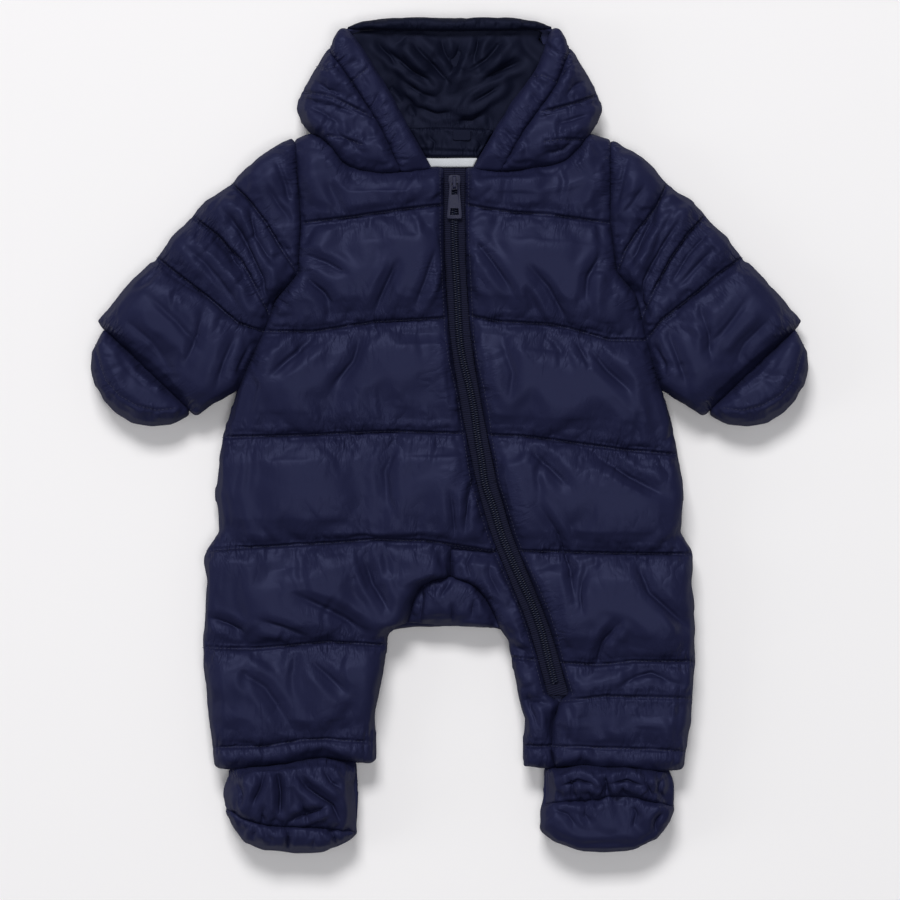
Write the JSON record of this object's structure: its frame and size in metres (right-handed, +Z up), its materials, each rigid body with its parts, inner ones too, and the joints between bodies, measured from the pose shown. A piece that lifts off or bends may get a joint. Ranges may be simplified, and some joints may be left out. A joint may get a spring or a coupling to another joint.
{
  "type": "padded baby snowsuit laid flat",
  "caption": "Hooded one-piece padded snowsuit for a baby, laid flat, with a slanting front zip, closed fold-over mittens and padded booties.",
  "frame": {"origin": "centre of the bounding box on the surface the suit lies on", "axes": "+Y from the booties towards the hood, +X towards the wearer's left, +Z up off the surface, through the front"},
  "size_m": [0.584, 0.6798, 0.0453],
  "materials": {
    "shell": "navy downproof nylon with a soft satin gloss",
    "lining": "dark navy thin lining, slightly glossy",
    "pale_lining": "pale grey woven neck lining",
    "zip_tape": "navy woven zip tape",
    "zip_teeth": "navy moulded teeth",
    "zip_metal": "navy enamelled zip slider and tab"
  },
  "bodies": {
    "suit": {"front_right": "shell", "front_left": "shell", "leg_left_inner": "shell", "crotch_gusset": "shell", "back": "shell", "sleeve_right": "shell", "sleeve_left": "shell", "mitten_right": "shell", "mitten_left": "shell", "hood_side_right": "shell", "hood_side_left": "shell", "hood_band_right": "shell", "hood_band_left": "shell", "hood_band_top": "lining", "hood_lining": "lining", "collar_band": "lining", "neck_lining": "pale_lining", "hanger_loop": "lining", "zip_tape_right": "zip_tape", "zip_tape_left": "zip_tape", "zip_stop_patch": "zip_tape", "zip_chain": "zip_teeth", "zip_slider": "zip_metal", "boot_upper_right": "shell", "boot_upper_left": "shell", "boot_sole_right": "shell", "boot_sole_left": "shell"},
    "pull_tab": {"zip_pull": "zip_metal"}
  },
  "joints": [
    {"name": "pull_tab_flip", "type": "hinge", "parent": "suit", "child": "pull_tab", "pos_m": [0.004, 0.2055, 0.0277], "axis": [-1, 0, 0], "range_deg": [0, 150]}
  ]
}
